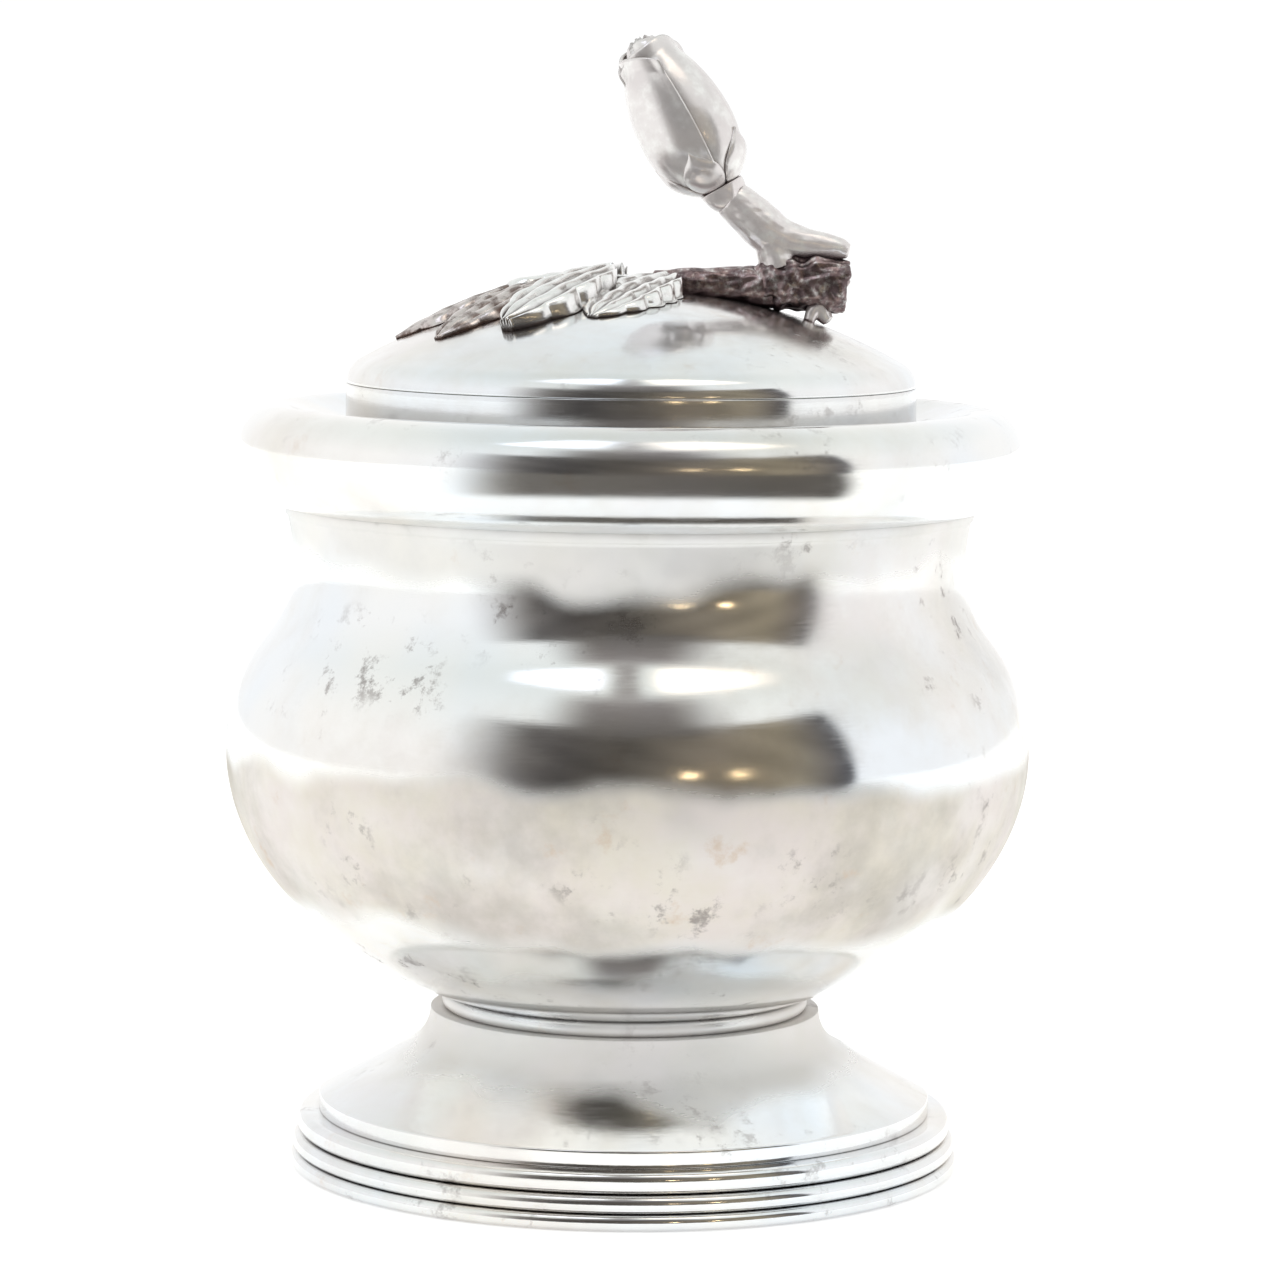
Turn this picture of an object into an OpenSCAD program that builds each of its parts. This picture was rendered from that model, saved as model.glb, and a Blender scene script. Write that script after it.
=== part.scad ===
// Covered sugar bowl in silver: a bellied bowl with an applied rim moulding on a
// reeded trumpet foot, and a lift-off domed lid with a cast rosebud finial.
// Millimetres, +Z up, origin at the centre of the base wire's resting face.

/* [Bowl] */
// Width across the belly
belly_d = 90; // [84:1:108]
// Height from the bowl's flat floor level to the widest point, if the curve closed to a point
belly_drop = 31.2; // [26:0.2:38]
// Radius of the bowl's flat floor
floor_r = 20; // [16:0.5:23]
// Radius of the waist between belly and rim
waist_r = 37.6; // [31.5:0.1:39]
// Height from the belly's widest point to the waist
waist_rise = 20.9; // [17:0.1:26]
// Share of the curve from belly to waist that is convex
belly_fullness = 0.58; // [0.5:0.01:0.8]
// Height from the waist to the rim's lower edge
neck_rise = 6.2; // [5:0.1:9]
// How far the neck flares out above the waist
neck_flare = 0.9; // [0.5:0.1:2]
// Sheet thickness of the bowl, the foot and the lid
wall = 0.9; // [0.7:0.05:1.2]

/* [Rim] */
// How far the rim moulding stands out from the neck
rim_overhang = 5.2; // [4:0.1:6.5]
// Radius of the moulding's upper roll
rim_upper_r = 4.5; // [3.8:0.1:5.4]
// Radius of the moulding's under side
rim_lower_r = 7.1; // [6.2:0.1:8.6]
// Sheet thickness of the moulding
rim_wall = 1; // [0.8:0.05:1.2]
// Height of the moulding's lower edge above the neck's surface
rim_edge = 0.6; // [0.3:0.05:1]
// Width of the moulding's dished top, from its crest to the lid's seat
rim_top_w = 6.8; // [6:0.1:8]
// Depth of the lid's seat below the crest of the rim
seat_drop = 2.3; // [1.6:0.1:3]
// Width of the ledge that carries the lid
seat_w = 2.8; // [2.3:0.1:3.4]

/* [Foot] */
// Radius of the foot's narrow neck
foot_neck_r = 21.9; // [18:0.1:25]
// Radius of the fillet between the neck and the cone of the foot
foot_fillet = 5; // [4:0.1:8]
// Slope of the foot's cone in degrees
foot_slope = 28; // [15:1:35]
// Radius of the cone's edge
foot_edge_r = 34.4; // [31:0.1:42]
// Height of each ring below the cone, from the top one down
ring_heights = [2.4, 2.0, 1.8]; // [1.5:0.1:3]
// How far each ring stands out from the cone's edge
ring_steps = [2.4, 3.0, 3.3]; // [1.4:0.1:4]
// Height of the cone's upright edge above the rings
foot_edge_h = 1.85; // [0.6:0.05:2.6]
// Height of the ring that joins the foot to the bowl
bead_h = 1.65; // [1.2:0.05:2.5]

/* [Lid] */
// Radius of the gap between the lid's collar and the rim
collar_gap = 0.6; // [0.3:0.05:1]
// Height of the lid's upright collar
collar_h = 4.55; // [3.5:0.05:6]
// Radius of the shoulder between collar and dome
shoulder_r = 3; // [2:0.1:4]
// Spherical radius of the dome
dome_r = 62; // [54:0.5:75]
// Depth of the bezel that drops into the mouth
bezel_h = 5.5; // [4:0.1:7]
// Radial play of the bezel in the mouth
bezel_gap = 0.25; // [0.15:0.05:0.5]
// Height that the lid stands clear of its seat
lid_gap = 0.15; // [0.1:0.05:0.3]
// Radius of the stud that holds the finial
stud_r = 1.5; // [1.2:0.1:2]
// Height of the nut on the stud
nut_h = 2.4; // [1.8:0.1:3.2]
// Thickness of the washer above the nut
washer_t = 0.6; // [0.4:0.05:1]

/* [Spray] */
// Thickness of a leaf
leaf_t = 1.1; // [0.8:0.1:1.6]
// Radius of the leaf stalk
stalk_r = 1.1; // [0.8:0.1:1.5]
// Radius of the boss under the spray
boss_r = 3; // [2.6:0.1:4]
// Height of the boss above the dome
boss_h = 1.7; // [1.2:0.1:2.4]
// Distance from the lid's axis to the cut end of the branch
branch_reach = 24; // [20:0.5:26]
// Radius of the cut branch
branch_r = 2.8; // [2.2:0.1:3.2]

/* [Bud] */
// Length of the bud from hip to tip
bud_len = 18.6; // [15:0.2:22]
// Radius of the bud at its widest
bud_r = 5.75; // [4.8:0.05:6.9]
// Lean of the bud from the vertical, in degrees
bud_lean = 30.3; // [15:0.5:35]
// Thickness of a petal
petal_t = 0.55; // [0.4:0.05:0.7]
// Thickness of a sepal
sepal_t = 0.4; // [0.3:0.05:0.6]
// Height of the hip under the bud
hip_h = 2.6; // [2:0.1:3.2]

/* [Hidden] */
$fn = 120;
silver = [0.80, 0.79, 0.77];
dark_silver = [0.50, 0.47, 0.45];

// How far a cutting solid runs past the face that it cuts
past = 1;

// Foot, from the resting face up
ring_seat_w = 1.2;
ring_round_r = 0.9;
ring_bore_r = foot_edge_r - ring_seat_w;
rings_top = ring_heights[0] + ring_heights[1] + ring_heights[2];
fillet_end_r = foot_neck_r + foot_fillet - foot_fillet * sin(foot_slope);
cone_rise = (foot_edge_r - fillet_end_r) * tan(foot_slope);
foot_h = rings_top + foot_edge_h + cone_rise + foot_fillet * cos(foot_slope);
bead_seat_w = 1.6;
bead_overhang = 0.6;
bead_round_r = 0.7;
bead_in_r = floor_r - bead_seat_w;
bead_out_r = floor_r + bead_overhang;

// Bowl
belly_r = belly_d / 2;
floor_z = foot_h + bead_h;
floor_angle = acos(floor_r / belly_r);
belly_z = floor_z + belly_drop * sin(floor_angle);
waist_z = belly_z + waist_rise;
sweep_angle = 2 * atan((belly_r - waist_r) / waist_rise);
sweep_r = waist_rise / sin(sweep_angle);
convex_r = belly_fullness * sweep_r;
concave_r = sweep_r - convex_r;
neck_r = waist_r + neck_flare;
seam_z = waist_z + neck_rise;
flare_r = (neck_rise * neck_rise + neck_flare * neck_flare) / (2 * neck_flare);
flare_angle = asin(neck_rise / flare_r);

// Rim
rim_r = neck_r + rim_overhang;
rim_lower_c = rim_r - rim_lower_r;
rim_upper_c = rim_r - rim_upper_r;
rim_lower_angle = acos((neck_r + rim_edge - rim_lower_c) / rim_lower_r);
rim_root_angle = acos((neck_r - rim_lower_c) / (rim_lower_r - rim_wall));
rim_mid_z = seam_z + rim_lower_r * sin(rim_lower_angle);
rim_turn = 115;
crest_z = rim_mid_z + rim_upper_r;
neck_top_gap = 0.35;
neck_top_z = crest_z - rim_wall - neck_top_gap;
seat_z = crest_z - seat_drop;
seat_r = rim_upper_c - rim_top_w;
mouth_r = seat_r - seat_w;
lip_h = 2.5;
lip_t = 0.8;

// Lid
collar_r = seat_r - collar_gap;
collar_z = seat_z + lid_gap;
collar_top_z = collar_z + collar_h;
shoulder_c = collar_r - shoulder_r;
dome_cz = collar_top_z - sqrt(pow(dome_r - shoulder_r, 2) - shoulder_c * shoulder_c);
shoulder_angle = atan2(collar_top_z - dome_cz, shoulder_c);
apex_z = dome_cz + dome_r;
bezel_r = mouth_r - bezel_gap;

// Fixing of the finial, whose washer meets the dome's inside with its upper edge
stud_play = 0.1;
stud_hole_r = stud_r + stud_play;
washer_r = stud_r + 2.1;
nut_r = stud_r + 1.7;
washer_top_z = dome_cz + sqrt(pow(dome_r - wall, 2) - washer_r * washer_r);
nut_top_z = washer_top_z - washer_t;
stud_tail = 1;
stud_socket_h = 0.8;

// Spray. A leaf is [root x, root y, bearing, length, width, layer above the dome]
leaf_teeth = 7;
tooth_size = 0.09;
layer_gap = 0.05;
stalk_lift = 0.6;
stalk_end_gap = 0.2;
tip_leaf = [-13.2, 0, 182, 13, 8, 0];
stalk_angle = asin((-tip_leaf[0] - stalk_end_gap) / (dome_r + stalk_lift));
front_leaves = [[-8.8, -1.4, 224, 17, 6.6, 0], [-2.4, -3.2, 232, 18, 7.4, 1], [4.2, -2.2, 240, 17, 7, 0]];
back_leaves = [[-8.8, 1.4, 136, 15, 6.6, 0], [-1.6, 3.4, 124, 15, 7.4, 1]];

// Branch, a round bar flattened above and below
twig_root_r = 1.5;
twig_end_r = 2;
twig_lift = 0.6;
branch_len = 9.2;
branch_x = branch_reach - branch_len;
branch_z = apex_z + twig_lift;
branch_top_z = branch_z + 0.87 * branch_r;
branch_foot_z = branch_z - 0.93 * branch_r;
branch_taper = 0.3;
knot_r = branch_r + 0.25;
knot_w = 1.3;
knot_inset = 1.9;
spur_r = 1.1;
spur_x = branch_reach - 2.6;

// Stem, from its crook on the branch up to the hip and back to its heel
stem_r = 1.9;
stem_run = 5.8;
stem_rise = 6.3;
stem_foot_x = branch_x + 2;
stem_top = [stem_foot_x - stem_run, 0, branch_top_z + stem_rise];
crook = [0.2, 1.9];
knee = [-2.6, 4.1];
heel_r = 0.8;
heel = [branch_reach - stem_foot_x - 0.5, 1.2];

// Bud, whose hip sits on the stem's upper end
hip_r = 2.9;
hip_round_r = 1;
bud_wide_at = 0.38;
bud_tip_at = 1.05;
bud_open_at = 0.98;
bud_steps = 20;
petal_gap = 0.1;
heart_r = bud_r - 2 * petal_t - petal_gap;
sepal_count = 5;
sepal_space = 22;
sepal_steps = 5;

// Points along an arc round [x, y]
function arc(c, r, a0, a1, n) =
    [for (i = [0:n]) let (a = a0 + (a1 - a0) * i / n) [c[0] + r * cos(a), c[1] + r * sin(a)]];

// Points along a quarter-like stretch of an ellipse round [x, y]
function oval(c, rx, ry, a0, a1, n) =
    [for (i = [0:n]) let (a = a0 + (a1 - a0) * i / n) [c[0] + rx * cos(a), c[1] + ry * sin(a)]];

// The bowl's curve from floor to neck top, inset by t from the outer face
function bowl_curve(t) = concat(
    oval([0, belly_z], belly_r - t, belly_drop - t, -acos((floor_r - t / 2) / (belly_r - t)), 0, 28),
    arc([belly_r - convex_r, belly_z], convex_r - t, 4, sweep_angle, 12),
    arc([waist_r + concave_r, waist_z], concave_r + t, 180 + sweep_angle - 4, 180, 10),
    arc([waist_r + flare_r, waist_z], flare_r + t, 180 - flare_angle / 5, 180 - flare_angle, 4),
    [[neck_r - t, seam_z], [neck_r - t, neck_top_z]]);

module bowl_shell() {
    outer = bowl_curve(0);
    inner = bowl_curve(wall);
    color(silver)
        rotate_extrude()
            polygon(concat(
                [[0, floor_z], [floor_r, floor_z]],
                [for (p = outer) if (p[1] > floor_z + 0.05) p],
                [for (i = [len(inner) - 1:-1:0]) if (inner[i][1] > floor_z + wall + 0.05) inner[i]],
                [[floor_r - wall, floor_z + wall], [0, floor_z + wall]]));
}

module rim_moulding() {
    lower = [rim_lower_c, rim_mid_z];
    upper = [rim_upper_c, rim_mid_z];
    color(silver)
        rotate_extrude()
            polygon(concat(
                [[neck_r, seam_z]],
                arc(lower, rim_lower_r, -rim_lower_angle, 0, 10),
                arc(upper, rim_upper_r, 9, rim_turn, 14),
                [[seat_r, seat_z], [seat_r, seat_z - rim_wall]],
                arc(upper, rim_upper_r - rim_wall, rim_turn, 0, 14),
                arc(lower, rim_lower_r - rim_wall, -8, -rim_root_angle, 9)));
}

module lid_seat() {
    color(silver)
        rotate_extrude()
            polygon([
                [mouth_r, seat_z - lip_h], [mouth_r + lip_t, seat_z - lip_h],
                [mouth_r + lip_t, seat_z - rim_wall], [seat_r, seat_z - rim_wall],
                [seat_r, seat_z], [mouth_r, seat_z]]);
}

module joint_bead() {
    bulge = bead_h / 2;
    color(silver)
        rotate_extrude()
            polygon(concat(
                [[bead_in_r, foot_h]],
                oval([bead_out_r - bead_round_r, foot_h + bulge], bead_round_r, bulge, -90, 90, 12),
                [[bead_in_r, foot_h + bead_h]]));
}

module foot_trumpet() {
    fillet_c = [foot_neck_r + foot_fillet, foot_h];
    edge_z = rings_top + foot_edge_h;
    inner_r = foot_fillet + wall;
    inner_edge_z = edge_z + ring_seat_w * tan(foot_slope) - wall / cos(foot_slope);
    color(silver)
        rotate_extrude()
            polygon(concat(
                [[bead_in_r, foot_h]],
                arc(fillet_c, foot_fillet, 180, 270 - foot_slope, 14),
                [[foot_edge_r, edge_z], [foot_edge_r, rings_top], [ring_bore_r, rings_top],
                 [ring_bore_r, inner_edge_z]],
                arc(fillet_c, inner_r, 270 - foot_slope, 180 + asin(wall / inner_r), 14),
                [[bead_in_r, foot_h - wall]]));
}

// One ring of the foot's edge: ring 0 is the top one
module foot_ring(i) {
    drops = [ring_heights[1] + ring_heights[2], ring_heights[2], 0];
    h = ring_heights[i];
    z = drops[i];
    out_r = foot_edge_r + ring_steps[i];
    round_r = min(ring_round_r, h / 2 - 0.1);
    rotate_extrude()
        polygon(concat(
            [[ring_bore_r, z]],
            arc([out_r - round_r, z + round_r], round_r, -90, 0, 6),
            arc([out_r - round_r, z + h - round_r], round_r, 0, 90, 6),
            [[ring_bore_r, z + h]]));
}

module foot_upper_ring() { color(silver) foot_ring(0); }
module foot_lower_ring() { color(silver) foot_ring(1); }
module foot_base_wire() { color(silver) foot_ring(2); }

// A cylinder on the lid's axis from z0 up to z1
module post(r, z0, z1, x = 0) {
    translate([x, 0, z0]) cylinder(r = r, h = z1 - z0);
}

module lid_dome() {
    color(silver)
        rotate_extrude()
            polygon(concat(
                arc([shoulder_c, collar_top_z], shoulder_r, 0, shoulder_angle, 8),
                arc([0, dome_cz], dome_r, shoulder_angle + 2, acos(stud_hole_r / dome_r), 20),
                arc([0, dome_cz], dome_r - wall, acos(stud_hole_r / (dome_r - wall)), shoulder_angle + 2, 20),
                arc([shoulder_c, collar_top_z], shoulder_r - wall, shoulder_angle, 0, 8)));
}

module lid_collar() {
    color(silver)
        difference() {
            post(collar_r, collar_z, collar_top_z);
            post(collar_r - wall, collar_z - past, collar_top_z + past);
        }
}

module lid_bezel() {
    color(silver)
        rotate_extrude()
            polygon([
                [bezel_r - wall, collar_z - bezel_h], [bezel_r, collar_z - bezel_h],
                [bezel_r, collar_z], [collar_r - wall, collar_z],
                [collar_r - wall, collar_z + wall], [bezel_r - wall, collar_z + wall]]);
}

module finial_stud() {
    color(silver) post(stud_r, nut_top_z - nut_h - stud_tail, apex_z + stud_socket_h);
}

module finial_washer() {
    color(silver)
        difference() {
            post(washer_r, nut_top_z, washer_top_z);
            post(stud_hole_r, nut_top_z - past, washer_top_z + past);
        }
}

module finial_nut() {
    color(silver)
        difference() {
            translate([0, 0, nut_top_z - nut_h]) cylinder(r = nut_r, h = nut_h, $fn = 6);
            post(stud_r, nut_top_z - nut_h - past, nut_top_z + past);
        }
}

// A ball concentric with the dome, h above its surface
module dome_ball(h = 0) {
    translate([0, 0, dome_cz]) sphere(r = dome_r + h, $fn = 180);
}

module spray_boss() {
    color(silver)
        difference() {
            intersection() {
                post(boss_r, apex_z - boss_h, apex_z + 2 * boss_h);
                dome_ball(boss_h);
            }
            dome_ball();
            post(stud_r, apex_z - 2 * boss_h, apex_z + stud_socket_h);
        }
}

// The space that the boss takes, which the pieces round it stop at
module boss_space() {
    post(boss_r, dome_cz, apex_z + 2 * boss_h);
}

// The stalk bends over the dome from the boss towards -X
module leaf_stalk() {
    color(silver)
        difference() {
            translate([0, 0, dome_cz])
                rotate([90, 0, 0])
                    rotate([0, 0, 90])
                        rotate_extrude(angle = stalk_angle, $fn = 240)
                            translate([dome_r + stalk_lift, 0]) circle(r = stalk_r, $fn = 32);
            dome_ball();
            boss_space();
        }
}

// One side of a pointed, toothed leaf outline along +X
function leaf_edge(length, width, side) =
    [for (i = [0:2 * leaf_teeth])
        let (s = i / (2 * leaf_teeth),
             tooth = (i % 2 == 0) ? 0 : tooth_size)
        [length * s, side * width / 2 * pow(sin(180 * pow(s, 0.85)), 0.8) * (1 + tooth)]];

// A leaf that follows the dome, from its root at [x, y] towards its bearing
module leaf(plan) {
    upper = leaf_edge(plan[3], plan[4], 1);
    lower = leaf_edge(plan[3], plan[4], -1);
    lift = plan[5] * (leaf_t + layer_gap);
    color(silver)
        intersection() {
            translate([plan[0], plan[1], dome_cz])
                rotate([0, 0, plan[2]])
                    linear_extrude(dome_r + 10)
                        polygon(concat(upper, [for (i = [len(lower) - 2:-1:1]) lower[i]]));
            difference() {
                dome_ball(lift + leaf_t);
                dome_ball(lift);
            }
        }
}

module leaf_tip() { leaf(tip_leaf); }
module leaf_front_left() { leaf(front_leaves[0]); }
module leaf_front_middle() { leaf(front_leaves[1]); }
module leaf_front_right() { leaf(front_leaves[2]); }
module leaf_back_left() { leaf(back_leaves[0]); }
module leaf_back_right() { leaf(back_leaves[1]); }

// A cone lying along +X from x0 to x1 at height z
module lying_cone(x0, x1, r0, r1, z) {
    translate([x0, 0, z]) rotate([0, 90, 0]) cylinder(r1 = r0, r2 = r1, h = x1 - x0);
}

module twig() {
    color(dark_silver)
        difference() {
            lying_cone(0, branch_x, twig_root_r, twig_end_r, branch_z);
            boss_space();
            dome_ball();
        }
}

module branch_stump() {
    knot_x = branch_reach - knot_inset;
    color(dark_silver)
        intersection() {
            union() {
                lying_cone(branch_x, branch_reach, branch_r - branch_taper, branch_r, branch_z);
                lying_cone(knot_x, knot_x + knot_w, knot_r, knot_r - 0.1, branch_z);
            }
            difference() {
                translate([branch_x, -2 * branch_r, branch_foot_z])
                    cube([branch_len + past, 4 * branch_r, branch_top_z - branch_foot_z]);
                dome_ball();
            }
        }
}

module branch_spur() {
    color(dark_silver)
        difference() {
            post(spur_r, apex_z - 12, branch_foot_z, spur_x);
            dome_ball();
        }
}

// A ball of the stem, its place [x, z] measured from the stem's foot
module stem_ball(place, r) {
    translate([stem_foot_x + place[0], 0, branch_top_z + place[1]]) sphere(r = r, $fn = 24);
}

module stem_run_between(from, from_r, to, to_r) {
    hull() {
        stem_ball(from, from_r);
        stem_ball(to, to_r);
    }
}

// The bud's own frame: +Z runs from the stem's upper end to the bud's tip
module in_bud_frame() {
    translate(stem_top) rotate([0, -bud_lean, 0]) children();
}

module bud_stem() {
    color(dark_silver)
        difference() {
            union() {
                stem_run_between([0.4, 0], stem_r, crook, stem_r);
                stem_run_between(crook, stem_r, knee, stem_r);
                stem_run_between(knee, stem_r, [-stem_run, stem_rise], stem_r - 0.2);
                stem_run_between(crook, stem_r - 0.3, heel, heel_r);
            }
            translate([0, -5 * stem_r, branch_z - branch_r])
                cube([2 * branch_reach, 10 * stem_r, branch_top_z - branch_z + branch_r]);
            in_bud_frame() cylinder(r = 3 * hip_r, h = bud_len);
        }
}

// Radius of the bud at share s of its length, for a widest radius r
function bud_radius(s, r) =
    let (half = s < bud_wide_at ? bud_wide_at + 0.03 : bud_tip_at - bud_wide_at,
         u = (s - bud_wide_at) / half)
    r * sqrt(max(0, 1 - u * u));

// The bud's face from step i0 to step i1 of its length, so that layers of one radius share their points
function bud_face(r, i0, i1) =
    [for (i = [i0:i1])
        let (s = bud_open_at * i / bud_steps)
        [bud_radius(s, r), hip_h + s * bud_len]];

function reversed(points) = [for (i = [len(points) - 1:-1:0]) points[i]];

module bud_hip() {
    color(dark_silver)
        in_bud_frame()
            rotate_extrude()
                polygon(concat(
                    [[0, 0]],
                    arc([hip_r - hip_round_r, hip_round_r], hip_round_r, -60, 0, 4),
                    [[hip_r, hip_h], [0, hip_h]]));
}

module bud_heart() {
    color(silver)
        in_bud_frame()
            rotate_extrude()
                polygon(concat(
                    [[0, hip_h]],
                    bud_face(heart_r, 0, bud_steps),
                    [[0, hip_h + bud_open_at * bud_len]]));
}

// A curved petal of outer radius r and thickness t that wraps the bud from angle a0 through a sweep
module petal(r, t, i0, i1, a0, sweep) {
    in_bud_frame()
        rotate([0, 0, a0])
            rotate_extrude(angle = sweep)
                polygon(concat(bud_face(r, i0, i1), reversed(bud_face(r - t, i0, i1))));
}

module petal_back() { color(silver) petal(heart_r + petal_t, petal_t, 1, bud_steps, 20, 170); }
module petal_right() { color(silver) petal(heart_r + petal_t, petal_t, 1, bud_steps - 1, 200, 170); }
module petal_left() { color(silver) petal(bud_r, petal_t, 1, bud_steps - 1, 110, 170); }

module bud_sepals() {
    step = 360 / sepal_count;
    color(silver)
        for (i = [0:sepal_count - 1])
            petal(bud_r + petal_gap + sepal_t, sepal_t, 0, sepal_steps, i * step, step - sepal_space);
}

bowl_shell();
rim_moulding();
lid_seat();
joint_bead();
foot_trumpet();
foot_upper_ring();
foot_lower_ring();
foot_base_wire();
lid_dome();
lid_collar();
lid_bezel();
finial_stud();
finial_washer();
finial_nut();
spray_boss();
leaf_stalk();
leaf_tip();
leaf_front_left();
leaf_front_middle();
leaf_front_right();
leaf_back_left();
leaf_back_right();
twig();
branch_stump();
branch_spur();
bud_stem();
bud_hip();
bud_sepals();
bud_heart();
petal_back();
petal_left();
petal_right();
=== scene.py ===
"""Looks of a covered silver sugar bowl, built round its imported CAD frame. Metres, +Z up, front towards -Y."""

import math

import bmesh
import bpy
import numpy as np
from mathutils import Matrix, Vector


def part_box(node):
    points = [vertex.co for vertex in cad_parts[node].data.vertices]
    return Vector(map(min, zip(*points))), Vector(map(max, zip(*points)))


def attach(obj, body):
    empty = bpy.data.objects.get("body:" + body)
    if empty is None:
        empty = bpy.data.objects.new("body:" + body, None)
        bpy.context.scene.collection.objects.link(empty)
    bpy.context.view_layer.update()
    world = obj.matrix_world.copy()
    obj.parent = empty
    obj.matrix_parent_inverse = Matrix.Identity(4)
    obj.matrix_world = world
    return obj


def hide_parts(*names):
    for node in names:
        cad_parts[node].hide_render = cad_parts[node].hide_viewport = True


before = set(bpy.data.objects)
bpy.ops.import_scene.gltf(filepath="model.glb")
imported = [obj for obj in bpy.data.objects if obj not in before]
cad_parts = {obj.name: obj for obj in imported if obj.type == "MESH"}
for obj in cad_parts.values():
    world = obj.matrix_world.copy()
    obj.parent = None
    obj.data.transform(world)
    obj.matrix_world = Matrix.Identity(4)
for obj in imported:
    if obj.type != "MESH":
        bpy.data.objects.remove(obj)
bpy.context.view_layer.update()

MM = 0.001
UP = Vector((0, 0, 1))
ROUND_STEPS = 240
RIPPLE_WAVES = 9


# ---------------------------------------------------------------- meshes

def add_piece(name, points, faces, body, node, material, sharp=math.pi):
    """Makes a smooth mesh piece that rides on a CAD body and stands for a CAD node.
    Edges that turn by more than the angle sharp stay crisp."""
    mesh = bpy.data.meshes.new(name)
    mesh.from_pydata([tuple(p) for p in points], [], [tuple(f) for f in faces])
    mesh.shade_smooth()
    if sharp < math.pi:
        mesh.set_sharp_from_angle(angle=sharp)
    mesh.materials.append(material)
    piece = bpy.data.objects.new(name, mesh)
    bpy.context.scene.collection.objects.link(piece)
    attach(piece, body)
    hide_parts(node)
    return piece


def smooth_path(points, closed=False, step=0.5 * MM):
    """A Catmull-Rom curve through the points, sampled about every step."""
    points = [Vector(p) for p in points]
    count = len(points)
    path = []
    spans = count if closed else count - 1
    for i in range(spans):
        p1, p2 = points[i], points[(i + 1) % count]
        p0 = points[i - 1] if closed or i > 0 else 2 * p1 - p2
        p3 = points[(i + 2) % count] if closed or i + 2 < count else 2 * p2 - p1
        parts = max(1, math.ceil((p2 - p1).length / step))
        for k in range(parts):
            t = k / parts
            path.append(0.5 * (2 * p1 + (p2 - p0) * t + (2 * p0 - 5 * p1 + 4 * p2 - p3) * t ** 2
                               + (3 * p1 - p0 - 3 * p2 + p3) * t ** 3))
    if not closed:
        path.append(points[-1])
    return path


def loft_faces(rings, sides):
    """Faces of a closed skin over rings of points with the same number of sides, capped at both ends."""
    faces = []
    for i in range(rings - 1):
        for k in range(sides):
            n = (k + 1) % sides
            faces.append((i * sides + k, i * sides + n, (i + 1) * sides + n, (i + 1) * sides + k))
    faces.append(tuple(range(sides - 1, -1, -1)))
    faces.append(tuple(range((rings - 1) * sides, rings * sides)))
    return faces


def ripple(points, size, length, seed):
    """A smooth random height at each point: a few waves of about the given length."""
    points = np.asarray(points, float)
    draw = np.random.default_rng(seed)
    height = np.zeros(len(points))
    for _ in range(RIPPLE_WAVES):
        direction = draw.normal(size=3)
        direction /= np.linalg.norm(direction)
        wave = 2 * math.pi / (length * draw.uniform(0.7, 1.6))
        height += np.sin(points @ direction * wave + draw.uniform(0, 2 * math.pi))
    return height * size / math.sqrt(RIPPLE_WAVES)


# ---------------------------------------------------------------- turned parts, from the CAD nodes' sections

SECTION_GAP = 1e-7
AXIS_R = 1e-6
CORNER = math.radians(30)
CRISP = math.radians(50)
EDGE_ROUND = 0.16 * MM
EDGE_SHARE = 0.3
WOBBLE_LENGTH = 22 * MM


def section(node):
    """The CAD node's cross-section at y = 0, as (radius, height) points in order, and whether it closes."""
    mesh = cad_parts[node].data
    place, links = {}, {}
    for v in mesh.vertices:
        if abs(v.co.y) < SECTION_GAP and v.co.x > -SECTION_GAP:
            place[v.index] = (round(v.co.x, 7), round(v.co.z, 7))
    for edge in mesh.edges:
        a, b = (place.get(i) for i in edge.vertices)
        if a and b and a != b:
            links.setdefault(a, set()).add(b)
            links.setdefault(b, set()).add(a)
    ends = sorted(p for p in links if len(links[p]) == 1)
    point = ends[0] if ends else min(links, key=lambda p: (p[1], p[0]))
    order, seen = [point], {point}
    while True:
        ahead = sorted(p for p in links[point] if p not in seen)
        if not ahead:
            break
        point = ahead[-1] if len(order) == 1 else ahead[0]
        order.append(point)
        seen.add(point)
    return [Vector(p) for p in order], not ends


def eased(points, closed):
    """The section with its arcs made into smooth curves and its corners slightly rounded."""
    count = len(points)

    def turn(i):
        if not closed and i in (0, count - 1):
            return math.pi
        a = points[i] - points[i - 1]
        b = points[(i + 1) % count] - points[i]
        return abs(a.angle_signed(b, 0))

    corners = [i for i in range(count) if turn(i) > CORNER]
    out = []
    stretches = zip(corners, corners[1:] + ([corners[0] + count] if closed else []))
    for start, end in stretches:
        run = [points[i % count] for i in range(start, end + 1)]
        first, last = run[0], run[-1]
        if closed or start > 0:
            run[0] = drawn_in(first, run[1])
        if closed or end < count - 1:
            run[-1] = drawn_in(last, run[-2])
        curve = smooth_path(run)
        if out and (closed or start > 0):
            out += bend(out[-1], first, curve[0])
        out += curve
    if closed:
        out += bend(out[-1], points[corners[0]], out[0])
    return out


def drawn_in(end, beside):
    """The end of a stretch, moved towards the point beside it to leave room for a small round."""
    gap = beside - end
    return end + gap.normalized() * min(EDGE_ROUND, EDGE_SHARE * gap.length)


def bend(a, corner, b):
    """Three points of a small round between a and b."""
    return [(1 - t) ** 2 * a + 2 * t * (1 - t) * corner + t ** 2 * b for t in (0.25, 0.5, 0.75)]


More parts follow.
